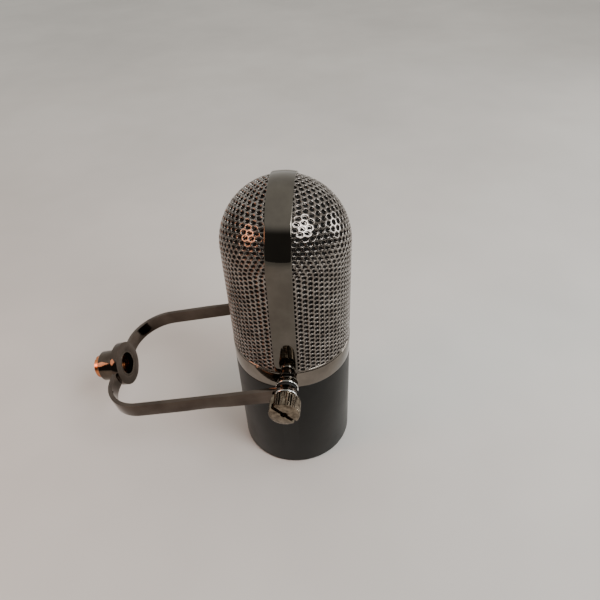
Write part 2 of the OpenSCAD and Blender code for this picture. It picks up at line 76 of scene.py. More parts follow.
def linearColour(code):                      # sRGB hex to linear
    parts = [int(code[i:i + 2], 16) / 255 for i in (1, 3, 5)]
    return (*(c / 12.92 if c <= 0.04045 else ((c + 0.055) / 1.055) ** 2.4 for c in parts), 1.0)


def addNode(tree, kind, inputs=None, **settings):
    node = tree.nodes.new(kind)
    for key, value in settings.items():
        setattr(node, key, value)
    for key, value in (inputs or {}).items():
        if isinstance(value, bpy.types.NodeSocket):
            tree.links.new(value, node.inputs[key])
        else:
            node.inputs[key].default_value = value
    return node


def tidyMesh(bm, gap=0.002):
    bmesh.ops.remove_doubles(bm, verts=bm.verts, dist=gap * mm)
    bmesh.ops.recalc_face_normals(bm, faces=bm.faces)


def roundEdges(bm, width, segments=3, over=30):
    sharp = [e for e in bm.edges
             if len(e.link_faces) == 2 and e.calc_face_angle(0) > math.radians(over)]
    bmesh.ops.bevel(bm, geom=sharp, offset=width * mm, offset_type="OFFSET", segments=segments,
                    profile=0.5, affect="EDGES", clamp_overlap=True, material=-1)


def spinProfile(points, steps, closed=True):  # points are (radius, height) in mm
    bm = bmesh.new()
    verts = [bm.verts.new((r * mm, 0, z * mm)) for r, z in points]
    ends = verts[1:] + verts[:1] if closed else verts[1:]
    edges = [bm.edges.new(pair) for pair in zip(verts, ends)]
    bmesh.ops.spin(bm, geom=verts + edges, cent=(0, 0, 0), axis=(0, 0, 1), angle=fullTurn,
                   steps=steps, use_merge=True)
    tidyMesh(bm)
    return bm


def cadCopy(node, width, segments=2, flat=0.6):  # merged copy of a CAD node, edges rounded
    bm = bmesh.new()
    bm.from_mesh(frame["nodes"][node].data)
    bmesh.ops.remove_doubles(bm, verts=bm.verts, dist=0.001 * mm)
    bmesh.ops.dissolve_limit(bm, angle_limit=math.radians(flat), verts=bm.verts, edges=bm.edges)
    if width:
        roundEdges(bm, width, segments)
    return bm


def addPiece(name, bm, material, body, replaced=(), place=None, sharp=35):
    if place:
        bmesh.ops.transform(bm, matrix=place, verts=bm.verts)
    mesh = bpy.data.meshes.new(name)
    bm.to_mesh(mesh)
    bm.free()
    mesh.shade_smooth()
    mesh.set_sharp_from_angle(angle=math.radians(sharp))
    mesh.materials.append(material)
    piece = bpy.data.objects.new(name, mesh)
    bpy.context.scene.collection.objects.link(piece)
    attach(piece, body)
    if replaced:
        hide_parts(*replaced)
    return piece


def cutAway(bm, cutters, mode="DIFFERENCE"):  # Boolean with other bmeshes, returned as one bmesh
    objects = []
    for part in (bm, *cutters):
        mesh = bpy.data.meshes.new("cutting")
        part.to_mesh(mesh)
        part.free()
        objects.append(bpy.data.objects.new("cutting", mesh))
        bpy.context.scene.collection.objects.link(objects[-1])
    for cutter in objects[1:]:
        step = objects[0].modifiers.new("cut", "BOOLEAN")
        step.operation, step.solver, step.object = mode, "EXACT", cutter
    bpy.context.view_layer.update()
    shaped = objects[0].evaluated_get(bpy.context.evaluated_depsgraph_get())
    result = bmesh.new()
    result.from_mesh(shaped.to_mesh())
    for used in objects:
        bpy.data.objects.remove(used)
    return result


def makeFinish(name, colour, tint, blotch, rough, metal=1.0, grains=(), place=None, spec=0.5):
    # colour and tint mix in blotches of that size; each grain is fine relief; all sizes in mm
    material = bpy.data.materials.new(name)
    material.use_nodes = True
    tree = material.node_tree
    shader = tree.nodes["Principled BSDF"]
    shader.inputs["Metallic"].default_value = metal
    shader.inputs["Specular IOR Level"].default_value = spec
    coords = addNode(tree, "ShaderNodeTexCoord").outputs["Object"]
    if place:                                # the pattern's own axis and centre
        turned = place.inverted()
        coords = addNode(tree, "ShaderNodeMapping",
                         {"Vector": coords, "Location": turned.to_translation(),
                          "Rotation": turned.to_euler()}).outputs["Vector"]
    cloud = addNode(tree, "ShaderNodeTexNoise", {"Vector": coords, "Scale": 1 / (blotch * mm),
                                                 "Detail": 4.0, "Roughness": 0.62})
    share = addNode(tree, "ShaderNodeMapRange", {"Value": cloud.outputs["Fac"],
                                                 "From Min": 0.36, "From Max": 0.64})
    mixed = addNode(tree, "ShaderNodeMix", {0: share.outputs["Result"], 6: linearColour(colour),
                                            7: linearColour(tint)}, data_type="RGBA")
    tree.links.new(mixed.outputs[2], shader.inputs["Base Color"])
    haze = addNode(tree, "ShaderNodeTexNoise", {"Vector": coords, "Scale": 0.37 / (blotch * mm),
                                                "Detail": 6.0, "Roughness": 0.7})
    dull = addNode(tree, "ShaderNodeMapRange", {"Value": haze.outputs["Fac"], "From Min": 0.3,
                                                "From Max": 0.7, "To Min": rough[0],
                                                "To Max": rough[1]})
    tree.links.new(dull.outputs["Result"], shader.inputs["Roughness"])
    normal = None
    for grain in grains:
        pitch, vector = grain["pitch"] * mm, coords
        if "stretch" in grain:               # brushed or drawn along one direction
            vector = addNode(tree, "ShaderNodeMapping",
                             {"Vector": coords, "Scale": grain["stretch"]}).outputs["Vector"]
        if grain["kind"] == "noise":
            height = addNode(tree, "ShaderNodeTexNoise",
                             {"Vector": vector, "Scale": 1 / pitch, "Detail": 3.0}).outputs["Fac"]
        elif grain["kind"] == "weave":       # two sets of crossing wires
            sets = [addNode(tree, "ShaderNodeTexWave", {"Vector": vector, "Scale": waveUnit / pitch},
                            bands_direction=way).outputs["Fac"] for way in grain["ways"]]
            height = addNode(tree, "ShaderNodeMath", {0: sets[0], 1: sets[1]},
                             operation="MAXIMUM").outputs["Value"]
        else:                                # rings round Z, or bands across a direction
            height = addNode(tree, "ShaderNodeTexWave",
                             {"Vector": vector, "Scale": waveUnit / pitch,
                              "Distortion": grain.get("wander", 0.0), "Detail": 2.0},
                             wave_type=grain["kind"], rings_direction="Z",
                             bands_direction=grain.get("way", "X")).outputs["Fac"]
        relief = {"Height": height, "Distance": grain["depth"] * mm, "Strength": 1.0}
        if normal:
            relief["Normal"] = normal
        normal = addNode(tree, "ShaderNodeBump", relief).outputs["Normal"]
    if normal:
        tree.links.new(normal, shader.inputs["Normal"])
    return material


# Stoved lacquer on an aluminium tube, sprayed: even satin charcoal with a faint orange-peel skin
basePaint = makeFinish("satinLacquer", "#0d0e0d", "#121311", 9, (0.3, 0.4), metal=0.0, spec=0.22,
                       grains=[{"kind": "noise", "pitch": 0.9, "depth": 0.012}])
# Black chrome over polished brass strip: a mirror that darkens what it reflects, faintly hazed
blackChrome = makeFinish("blackChrome", "#66625b", "#58544e", 22, (0.03, 0.07),
                         grains=[{"kind": "noise", "pitch": 14, "depth": 0.02}])
# Black chrome over a turned and buffed ring: the same mirror, its colour made warmer and brighter as a painted
# warm reflection
bandChromeWarmPaintedReflection = makeFinish("blackChromeWarmPaintedReflection", "#7c766e", "#68625b", 18, (0.03, 0.08),
                        grains=[{"kind": "noise", "pitch": 11, "depth": 0.03}])
# Perforated brass, pressed, barrel polished, black-nickel plated: bright rims, warm, duller lands
grillePlate = makeFinish("blackNickelSheet", "#8b8681", "#6a645f", 7, (0.08, 0.16),
                         grains=[{"kind": "noise", "pitch": 2.2, "depth": 0.02}])
# Woven phosphor-bronze cloth, darkened: 0.25 mm wire, drawn at 0.9 mm so that the weave can be seen
screenMesh = makeFinish("wovenCloth", "#0d0d0c", "#070707", 5, (0.5, 0.65), metal=0.0, spec=0.15,
                        grains=[{"kind": "weave", "pitch": 0.9, "depth": 0.25, "ways": ("Y", "Z")}])
# Forged steel bar, ground and black-nickel plated: polished but not flat, so reflections waver
yokeSteel = makeFinish("blackNickelForging", "#595049", "#453d37", 22, (0.06, 0.12), place=yokeFrame,
                       grains=[{"kind": "noise", "pitch": 9, "depth": 0.06},
                               {"kind": "noise", "pitch": 0.8, "depth": 0.006, "stretch": (0.12, 1, 1)}])
# Brass turned on a lathe and nickel plated: fine tool rings, slightly brown in the recesses
turnedNickel = {side: makeFinish(name, "#857a6b", "#4f463b", 3, (0.1, 0.2), place=pivotFrame(side),
                                 grains=[{"kind": "RINGS", "pitch": 0.55, "depth": 0.012},
                                         {"kind": "noise", "pitch": 1.4, "depth": 0.015}])
                for side, name in ((-1, "turnedNickelFront"), (1, "turnedNickelRear"))}
# Stamped steel, bright chrome plated: a clean mirror with a tumbled edge
brightChrome = makeFinish("brightChrome", "#dedfdd", "#c9c9c6", 5, (0.05, 0.12),
                          grains=[{"kind": "noise", "pitch": 2.5, "depth": 0.012}])
# Moulded nitrile rubber: matt black with a dusty bloom
rubber = makeFinish("nitrileRubber", "#121212", "#1c1b1a", 2.5, (0.6, 0.75), metal=0.0, spec=0.4,
                    grains=[{"kind": "noise", "pitch": 0.5, "depth": 0.03}])
# Copper-coloured brass, screw-machined: orange tool rings and a little tarnish
copperAdapter = makeFinish("turnedCopper", "#d98f62", "#b06a40", 4, (0.2, 0.34), place=bossFrame,
                           grains=[{"kind": "RINGS", "pitch": 0.5, "depth": 0.012}])
# Steel turned and black-nickel plated: rings round the boss, darker than the bar
bossSteel = makeFinish("turnedBlackNickel", "#5e554c", "#4a423b", 8, (0.06, 0.12), place=bossFrame,
                       grains=[{"kind": "RINGS", "pitch": 0.6, "depth": 0.006},
                               {"kind": "noise", "pitch": 3, "depth": 0.02}])
# Free-cutting brass, turned and left bare: yellow, with lathe rings
brass = makeFinish("turnedBrass", "#c8a552", "#a98440", 6, (0.22, 0.36),
                   grains=[{"kind": "RINGS", "pitch": 0.6, "depth": 0.01}])
# Zinc-plated mild steel: pale grey with a faint mottled passivation
zincSteel = makeFinish("zincPlatedSteel", "#a5a6a2", "#8a8b8a", 3, (0.3, 0.45),
                       grains=[{"kind": "noise", "pitch": 1.2, "depth": 0.015}])
# Aluminium plate, milled: parallel cutter marks
aluminium = makeFinish("milledAluminium", "#c4c5c2", "#adaeab", 10, (0.26, 0.4),
                       grains=[{"kind": "BANDS", "pitch": 1.2, "depth": 0.012, "way": "X", "wander": 0.6}])
# Zinc die casting, nickel plated: soft satin with shallow flow marks
zincCasting = makeFinish("nickelPlatedCasting", "#bcbab4", "#a3a19b", 5, (0.2, 0.34),
                         grains=[{"kind": "noise", "pitch": 2, "depth": 0.03}])
# Glass-filled nylon, moulded: dull black, with pale fibre flecks under the skin
insertPlastic = makeFinish("glassFilledNylon", "#171717", "#242423", 0.8, (0.42, 0.55), metal=0.0,
                           grains=[{"kind": "noise", "pitch": 0.4, "depth": 0.012}])
# Paper phenolic sheet, sawn and drilled: brown, with the paper's layers on its edges
phenolic = makeFinish("paperPhenolic", "#6d4a2a", "#55371d", 4, (0.35, 0.5), metal=0.0,
                      grains=[{"kind": "BANDS", "pitch": 0.4, "depth": 0.01, "way": "Y"}])
# Glass-epoxy laminate under green solder mask: glossy, with the glass weave showing through
circuitBoard = makeFinish("solderMaskedLaminate", "#1d5a35", "#18492b", 6, (0.16, 0.26), metal=0.0,
                          grains=[{"kind": "weave", "pitch": 0.8, "depth": 0.006, "ways": ("X", "Y")}])
# Hard gold flash over nickel: smooth and deep yellow
goldPlate = makeFinish("goldFlash", "#d3a94e", "#b98c37", 2, (0.12, 0.2))
# Sintered neodymium, ground and nickel plated: bright with rounded, slightly grainy faces
magnetPlate = makeFinish("nickelPlatedMagnet", "#c6c6c3", "#b2b2af", 4, (0.12, 0.22),
                         grains=[{"kind": "noise", "pitch": 0.7, "depth": 0.01}])
# Soft iron, ground: long straight grinding marks
groundIron = makeFinish("groundIron", "#8d8f8c", "#777976", 6, (0.28, 0.42),
                        grains=[{"kind": "noise", "pitch": 0.5, "depth": 0.012, "stretch": (1, 1, 0.08)}])
# Silicon-steel laminations, 0.5 mm, drawn at 0.8 mm: dark stacked edges
laminations = makeFinish("siliconSteelStack", "#6c6e6d", "#565858", 5, (0.4, 0.55),
                         grains=[{"kind": "BANDS", "pitch": 0.8, "depth": 0.12, "way": "Y"}])
# Polyester tape wound over enamelled wire: amber gloss with overlapping turns
coilTape = makeFinish("amberCoilTape", "#b8742f", "#9a5b1f", 7, (0.14, 0.26), metal=0.0,
                      grains=[{"kind": "BANDS", "pitch": 4, "depth": 0.1, "way": "Z"}])
# Aluminium leaf, 2 microns, rolled: almost white, with the finest of rolling lines
foil = makeFinish("aluminiumLeaf", "#e6e7e8", "#d3d4d6", 3, (0.1, 0.2),
                  grains=[{"kind": "noise", "pitch": 0.5, "depth": 0.004, "stretch": (1, 1, 0.1)}])
# Extruded wire insulation, silicone: soft satin, slightly waxy
redWire = makeFinish("redSilicone", "#b5282a", "#9c1f22", 3, (0.4, 0.52), metal=0.0,
                     grains=[{"kind": "noise", "pitch": 0.6, "depth": 0.01}])
paleWire = makeFinish("paleSilicone", "#d8d2c0", "#c5bea9", 3, (0.4, 0.52), metal=0.0,
                      grains=[{"kind": "noise", "pitch": 0.6, "depth": 0.01}])
print("materials made")


sheet = {"pitch": 3.75, "hole": 2.75, "thick": 0.8,
         "squash": 0.84,                     # height of a hole and of a row step against their width
         "stretch": 0.25,                    # how much wider apart the rows lie on top of the dome
         # lip and wall of a hole: how much wider, how deep
         "rings": [(0.34, 0.0), (0.12, 0.07), (0.0, 0.28), (0.0, 0.8)]}


def makeGrille(side):                        # one pressed half, +X or -X
    pitch, holeR = sheet["pitch"], sheet["hole"] / 2
    columnGap = pitch * math.sqrt(3) / 2
    wall, seam = (domeZ - bandHigh) / mm, grilleR / mm * math.pi / 2
    bm = bmesh.new()

    def ring(radius, depth, hexagon=False):
        verts = bmesh.ops.create_circle(bm, cap_ends=False, radius=radius * mm, segments=12,
                                        matrix=Matrix.Translation((0, 0, -depth * mm)))["verts"]
        for v in verts:
            turn = math.degrees(math.atan2(v.co.y, v.co.x)) % 60
            if hexagon and 15 < turn < 45:   # the middles of the hexagon's sides
                v.co.xy *= math.cos(math.pi / 6)
        return verts

    # hexagon outline, rounded lip, hole wall and back: one cell of the sheet
    cell = [ring(pitch / math.sqrt(3), 0, True)]
    cell += [ring(holeR + more, depth) for more, depth in sheet["rings"]]
    cell.append(ring(pitch / math.sqrt(3), sheet["thick"], True))
    for upper, lower in zip(cell, cell[1:]):
        loops = [e for e in bm.edges
                 if all(v in upper for v in e.verts) or all(v in lower for v in e.verts)]
        bmesh.ops.bridge_loops(bm, edges=loops)
    bmesh.ops.scale(bm, vec=(1, sheet["squash"], 1), verts=bm.verts)
    rowGap = pitch * sheet["squash"]
    rows = math.ceil(seam / rowGap) + 1
    below = math.ceil(wall / rowGap) + 1
    columns = math.ceil(seam / (2 * columnGap)) + 1

    def repeat(step, times):
        bmesh.ops.spin(bm, geom=bm.verts[:] + bm.edges[:] + bm.faces[:], cent=(0, 0, 0),
                       axis=(0, 0, 1), dvec=[s * mm for s in step], angle=0, steps=times,
                       use_duplicate=True)

    repeat((columnGap, rowGap / 2, 0), 1)
    bmesh.ops.translate(bm, vec=(-2 * columns * columnGap * mm, -below * rowGap * mm, 0),
                        verts=bm.verts)
    repeat((0, rowGap, 0), rows + below)
    repeat((2 * columnGap, 0, 0), 2 * columns)
    spare = pitch * 0.7                      # kept past the seam and the band, then cut off straight
    reach = (seam + spare) * mm
    outside = [f for f in bm.faces if abs(f.calc_center_median().x) > reach
               or f.calc_center_median().y < -(wall + spare) * mm
               or (f.calc_center_median().y > 0 and f.calc_center_median().xy.length > reach)]
    bmesh.ops.delete(bm, geom=outside, context="FACES")
    bmesh.ops.remove_doubles(bm, verts=bm.verts, dist=0.01 * mm)
    for v in bm.verts:                       # wrap the flat sheet round the wall and over the dome
        across, up, radius = v.co.x, max(v.co.y, 0), grilleR + v.co.z
        far = math.hypot(across, up)
        turn = far / grilleR * (1 + sheet["stretch"] * up / max(far, 1e-9))
        sideways = (across / far, up / far) if far > 1e-9 else (1, 0)
        v.co = Vector((radius * math.cos(turn), radius * math.sin(turn) * sideways[0],
                       domeZ + min(v.co.y, 0) + radius * math.sin(turn) * sideways[1]))
    seamX = min(abs(grille[0].x), abs(grille[1].x))
    for point, normal in (((seamX, 0, 0), (-1, 0, 0)), ((0, 0, bandHigh), (0, 0, -1))):
        cut = bmesh.ops.bisect_plane(bm, geom=bm.verts[:] + bm.edges[:] + bm.faces[:],
                                     dist=0.0005 * mm, plane_co=point, plane_no=normal,
                                     clear_outer=True)
        rims = [e for e in cut["geom_cut"] if isinstance(e, bmesh.types.BMEdge)]
        bmesh.ops.edgenet_fill(bm, edges=rims)
    tidyMesh(bm, 0.004)
    if side < 0:
        bmesh.ops.scale(bm, vec=(-1, 1, 1), verts=bm.verts)
        bmesh.ops.reverse_faces(bm, faces=bm.faces)
    return bm


for side, name, node in ((1, "rightGrilleMesh", "right_grille"),
                         (-1, "leftGrilleMesh", "left_grille")):
    grillePiece = addPiece(name, makeGrille(side), grillePlate, "body", [node],
                           sharp=50)
    print(name, len(grillePiece.data.polygons), "faces")


spineSize = {"edge": 0.45, "arcSteps": 12, "domeSteps": 72}


def makeSpine():                             # a crowned strip up one wall, over the dome and down
    halfWidth = spine[1].x
    bm = bmesh.new()
    arcSteps = spineSize["arcSteps"]
    across = [halfWidth * (2 * i / arcSteps - 1) for i in range(arcSteps + 1)]
    section = [(x, spineR) for x in across] + [(x, grilleR) for x in reversed(across)]
    loop = [bm.verts.new((x, -math.sqrt(r * r - x * x), bandHigh)) for x, r in section]
    edges = [bm.edges.new(pair) for pair in zip(loop, loop[1:] + loop[:1])]
    rise = Vector((0, 0, domeZ - bandHigh))

    def pull(ends, by):                      # extrudes the loop of edges and moves it
        made = bmesh.ops.extrude_edge_only(bm, edges=ends)["geom"]
        verts = [v for v in made if isinstance(v, bmesh.types.BMVert)]
        bmesh.ops.translate(bm, vec=by, verts=verts)
        return [e for e in made
                if isinstance(e, bmesh.types.BMEdge) and all(v in verts for v in e.verts)]

    top = pull(edges, rise)
    topVerts = list({v for e in top for v in e.verts})
    turned = bmesh.ops.spin(bm, geom=topVerts + top, cent=(0, 0, domeZ), axis=(1, 0, 0),
                            angle=-math.pi, steps=spineSize["domeSteps"])["geom_last"]
    pull([e for e in turned if isinstance(e, bmesh.types.BMEdge)], -rise)
    bmesh.ops.holes_fill(bm, edges=[e for e in bm.edges if e.is_boundary], sides=0)
    tidyMesh(bm)
    roundEdges(bm, spineSize["edge"], 4, 45)
    return bm


addPiece("spineStrip", makeSpine(), blackChrome, "body", ["spine_strip"])


# the pivot bushes' holes: radius, and where it starts from the body's axis
seatSize = {"neck": (4.3, 20), "collar": (5.6, 36), "out": 60, "steps": 64}


def seatCutters(*steps):                     # one stepped cutter a side
    shape, out = [(0, steps[0][1])], seatSize["out"]
    for (radius, start), (_, end) in zip(steps, steps[1:] + ((0, out),)):
        shape += [(radius, start), (radius, end)]
    cutters = []
    for side in (-1, 1):
        cutters.append(spinProfile(shape + [(0, out)], seatSize["steps"], closed=False))
        bmesh.ops.transform(cutters[-1], matrix=pivotFrame(side), verts=cutters[-1].verts)
    return cutters


bandSize = {"wall": 1, "lip": 1.1, "groove": 0.35, "edge": 0.3, "round": 0.12, "steps": 192,
            "notch": (11.2, 90, 20)}         # open below the pivots: across, through and down
r, low, high = bodyR / mm, bandLow / mm, bandHigh / mm
bandIn, lip, groove, edge = r - bandSize["wall"], bandSize["lip"], bandSize["groove"], bandSize["edge"]
bandShape = spinProfile([(bandIn, low), (r - edge, low), (r, low + edge),
                         (r, high - lip - 2 * groove), (r - groove, high - lip - groove),
                         (r, high - lip), (r, high - edge), (r - edge, high), (bandIn, high)],
                        bandSize["steps"])
roundEdges(bandShape, bandSize["round"], 2, 20)
notch, (notchX, notchY, notchZ) = bmesh.new(), bandSize["notch"]
bmesh.ops.create_cube(notch, size=1, matrix=Matrix.Translation((0, 0, pivotZ - notchZ / 2 * mm))
                      @ Matrix.Diagonal((notchX * mm, notchY * mm, notchZ * mm, 1)))
bandShape = cutAway(bandShape, seatCutters(seatSize["collar"]) + [notch])
# the band's colour carries a painted warm reflection
addPiece("trimBand", bandShape, bandChromeWarmPaintedReflection, "body", ["trim_band"])

tubeSize = {"wall": 3, "foot": 1.0, "shoulder": 0.3, "round": 0.2, "steps": 192}
tubeIn, top = r - tubeSize["wall"], shell[1].z / mm
foot, shoulder = tubeSize["foot"], tubeSize["shoulder"]
tubeShape = spinProfile([(tubeIn, 0), (r - foot, 0), (r, foot), (r, low - shoulder),
                         (r - shoulder, low), (bandIn, low), (bandIn, top), (tubeIn, top)],
                        tubeSize["steps"])
roundEdges(tubeShape, tubeSize["round"], 3, 20)
tubeShape = cutAway(tubeShape, seatCutters(seatSize["neck"], seatSize["collar"]))
addPiece("baseTube", tubeShape, basePaint, "body", ["base_shell"])
print("spine, band and base made")


knob = {"flutes": 36, "fluteDeep": 0.5, "neck": 2.6, "neckR": 6.0, "edge": 0.8, "stud": 3.0,
        "studEdge": 0.4, "rim": (0.25, 0.3),  # the chamfer's middle point: in from the knurl, along it
        "slotWide": 2.4, "slotDeep": 3.0, "slotTurn": 135, "hole": 2.2, "holeDeep": 4.5}


def makeThumbScrew(side, node, ringNode):
    box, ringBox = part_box(node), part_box(ringNode)
    outer = max(abs(box[0].y), abs(box[1].y)) / mm
    inner = min(abs(box[0].y), abs(box[1].y)) / mm
    seat = max(abs(ringBox[0].y), abs(ringBox[1].y)) / mm
    knobR, neckR, back = box[1].x / mm, knob["neckR"], seat + knob["neck"]
    edge, (rimIn, rimUp), studR, studEdge = knob["edge"], knob["rim"], knob["stud"], knob["studEdge"]
    knurlLow, knurlHigh = back + edge, outer - edge
    bm = spinProfile([(0, inner), (studR - studEdge, inner), (studR, inner + studEdge), (studR, seat),
                      (neckR, seat), (neckR, back), (knobR - edge, back), (knobR - rimIn, back + rimUp),
                      (knobR, knurlLow), (knobR, knurlHigh), (knobR - rimIn, outer - rimUp),
                      (knobR - edge, outer), (0, outer)], 4 * knob["flutes"], closed=False)
    for v in bm.verts:                       # straight knurl: four lines a flute, high to low and back
        radius = v.co.xy.length / mm
        line = math.atan2(v.co.y, v.co.x) / fullTurn * 4 * knob["flutes"]
        if radius > knobR - 0.1 and knurlLow - 0.1 < v.co.z / mm < knurlHigh + 0.1:
            sink = (1 - math.cos(line * math.pi / 2)) / 2 * knob["fluteDeep"]
            v.co.xy *= (radius - sink) / radius
    slot, slotHigh = bmesh.new(), 20
    bmesh.ops.create_cube(slot, size=1,
                          matrix=Matrix.Rotation(math.radians(knob["slotTurn"]), 4, "Z")
                          @ Matrix.Translation((0, 0, (outer - knob["slotDeep"] + slotHigh / 2) * mm))
                          @ Matrix.Diagonal((40 * mm, knob["slotWide"] * mm, slotHigh * mm, 1)))
    holeR, holeLow = knob["hole"], outer - knob["holeDeep"]
    bore = spinProfile([(0, holeLow), (holeR, holeLow + 0.6), (holeR, outer + 5), (0, outer + 5)],
                       40, closed=False)
    return cutAway(bm, [slot, bore])


for side, body, node, ringNode, name in (
        (-1, "front_screw", "front_thumb_screw", "front_outer_ring", "frontThumbScrew"),
        (1, "rear_screw", "rear_thumb_screw", "rear_outer_ring", "rearThumbScrew")):
    addPiece(name, makeThumbScrew(side, node, ringNode), turnedNickel[side], body,
             [node], pivotFrame(side), sharp=30)
    addPiece(name.replace("ThumbScrew", "OuterWasher"), cadCopy(ringNode, 0.4, 3), brightChrome,
             body + "_carriage", [ringNode])
for node, name, material, slot, width, segments in (
        ("flat_washers", "flatWashers", brightChrome, "bright_chrome", 0.35, 3),
        ("inner_rings", "innerRubberRings", rubber, "rubber", 0.7, 3),
        ("pivot_bushes", "pivotCollars", brightChrome, "nickel", 0.2, 2)):
    addPiece(name, cadCopy(node, width, segments), material, "body", [node])
print("pivots made")


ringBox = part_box("front_outer_ring")
eyeOut = min(abs(ringBox[0].y), abs(ringBox[1].y)) / mm
yoke = {"thick": 2.8, "wide": 9.4, "eyeWide": 10.2, "eye": 7.0, "flare": 42, "bend": 27,
        "bendSteps": 20, "edge": 0.5, "disc": 15, "discThick": 4.5, "clear": 0.8, "bore": 9.0,
        "pin": 3.1, "pinSpan": (20, 70),
        "coin": (38, 66), "coinDeep": 0.5}   # lens-shaped facets, how far from the pivots
yoke["reach"] = (domeZ - pivotZ + spineR) / mm + yoke["clear"] + yoke["discThick"]


def makeYoke():                              # flat bar bent into a U, then the disc, bore and pin holes
    thick, bend, reach = yoke["thick"], yoke["bend"], yoke["reach"]
    outer, (coinFrom, coinTo) = [], yoke["coin"]
    for far in [0, 8, 16, 24, 32, *range(coinFrom, coinTo, 2), 72, 84, reach - bend]:
        outer.append((-far, -eyeOut, 0, 1))
    for step in range(1, yoke["bendSteps"] + 1):
        turn = math.pi / 2 * step / yoke["bendSteps"]
        outer.append((-reach + bend - bend * math.sin(turn), -eyeOut + bend - bend * math.cos(turn),
                      math.sin(turn), math.cos(turn)))
    stations = outer + [(x, -y, inX, -inY) for x, y, inX, inY in reversed(outer)]
    bm, loops = bmesh.new(), []
    for x, y, inX, inY in stations:          # a section: outer face in three strips, flat inner face
        flare = (yoke["eyeWide"] - yoke["wide"]) / 2 * max(0, 1 + x / yoke["flare"])
        half = yoke["wide"] / 2 + flare
        share = (-x - coinFrom) / (coinTo - coinFrom)
        sink = math.sin(math.pi * share) * yoke["coinDeep"] if 0 < share < 1 else 0
        crest = half * (0.33 if sink else 0.5)
        points = [(thick, -half), (sink, -half), (0, -crest), (0, crest), (sink, half), (thick, half)]
        loops.append([bm.verts.new(((x + inX * deep) * mm, (y + inY * deep) * mm, z * mm))
                      for deep, z in points])
    for near, far in zip(loops, loops[1:]):
        for i in range(6):
            j = (i + 1) % 6
            bm.faces.new((near[i], near[j], far[j], far[i]))
    bm.faces.new(loops[0])
    bm.faces.new(loops[-1][::-1])
    tidyMesh(bm)
    level = Matrix.Rotation(-math.pi / 2, 4, "Y")      # +Z turned to run out along the boss
    disc = spinProfile([(0, reach - yoke["discThick"]), (yoke["disc"], reach - yoke["discThick"]),
                        (yoke["disc"], reach), (0, reach)], 96, closed=False)
    bore = spinProfile([(0, reach - 30), (yoke["bore"], reach - 30), (yoke["bore"], reach + 30),
                        (0, reach + 30)], 96, closed=False)
    for part in (disc, bore):
        bmesh.ops.transform(part, matrix=level, verts=part.verts)
    eyes, pins, (pinLow, pinHigh) = [], [], yoke["pinSpan"]
    for side in (-1, 1):
        flat = Matrix.Rotation(-side * math.pi / 2, 4, "X")
        eyes.append(spinProfile([(0, eyeOut - thick), (yoke["eye"], eyeOut - thick),
                                 (yoke["eye"], eyeOut), (0, eyeOut)], 64, closed=False))
        pins.append(spinProfile([(0, pinLow), (yoke["pin"], pinLow), (yoke["pin"], pinHigh),
                                 (0, pinHigh)], 48, closed=False))
        bmesh.ops.transform(eyes[-1], matrix=flat, verts=eyes[-1].verts)
        bmesh.ops.transform(pins[-1], matrix=flat, verts=pins[-1].verts)
    bm = cutAway(bm, [disc, *eyes], "UNION")
    bm = cutAway(bm, [bore, *pins])
    tidyMesh(bm)
    bmesh.ops.dissolve_limit(bm, angle_limit=math.radians(0.3), verts=bm.verts, edges=bm.edges)
    roundEdges(bm, yoke["edge"], 3, 40)
    return bm


addPiece("yokeBar", makeYoke(), yokeSteel, "yoke", ["yoke_bar"], yokeFrame)

boss = {"bore": 7.5, "spigot": 9.0, "radius": 10.5, "length": 13.2, "edge": 0.7, "round": 0.2}
discIn, bossOut = yoke["reach"] - yoke["discThick"], yoke["reach"] + boss["length"]
bossR, boreR, edge = boss["radius"], boss["bore"], boss["edge"]
bossShape = spinProfile([(boreR, discIn), (boss["spigot"], discIn), (boss["spigot"], yoke["reach"]),
                         (bossR, yoke["reach"]), (bossR, bossOut - edge), (bossR - edge, bossOut),
                         (boreR, bossOut)], 96)
roundEdges(bossShape, boss["round"], 3, 20)
addPiece("standBoss", bossShape, bossSteel, "yoke", ["stand_boss"], bossFrame)

adapter = {"head": 7.9, "headThick": 4.2, "length": 9.5, "bore": 4.0, "threadDeep": 0.45,
           "pitch": 1.6, "lead": 1.0, "edge": 0.5, "tip": 0.3, "slot": 1.6}
adapterIn, adapterOut = bossOut - adapter["length"], bossOut + adapter["headThick"]
threadR, pitch = adapter["bore"], adapter["pitch"]
threads = []
for turn in range(int((adapterOut - adapterIn - adapter["lead"] - 0.2) / pitch)):
    root = adapterOut - adapter["lead"] - (turn + 0.5) * pitch     # 16 threads an inch, as rings
    threads += [(threadR, root + pitch * 0.4), (threadR + adapter["threadDeep"], root),
                (threadR, root - pitch * 0.4)]
headR, edge, tip = adapter["head"], adapter["edge"], adapter["tip"]
adapterShape = spinProfile([(threadR, adapterIn), (boreR - tip, adapterIn), (boreR, adapterIn + tip),
                            (boreR, bossOut), (headR, bossOut), (headR, adapterOut - edge),
                            (headR - edge, adapterOut), (threadR, adapterOut), *threads], 96)
adapterSlot, slotWide = bmesh.new(), adapter["slot"]
bmesh.ops.create_cube(adapterSlot, size=1,
                      matrix=Matrix.Translation((0, 0, (adapterOut + 4) * mm))
                      @ Matrix.Diagonal((40 * mm, slotWide * mm, (8 + 2 * slotWide) * mm, 1)))
addPiece("threadAdapter", cutAway(adapterShape, [adapterSlot]), copperAdapter, "yoke",
         ["thread_adapter"], bossFrame, sharp=25)
print("yoke made")


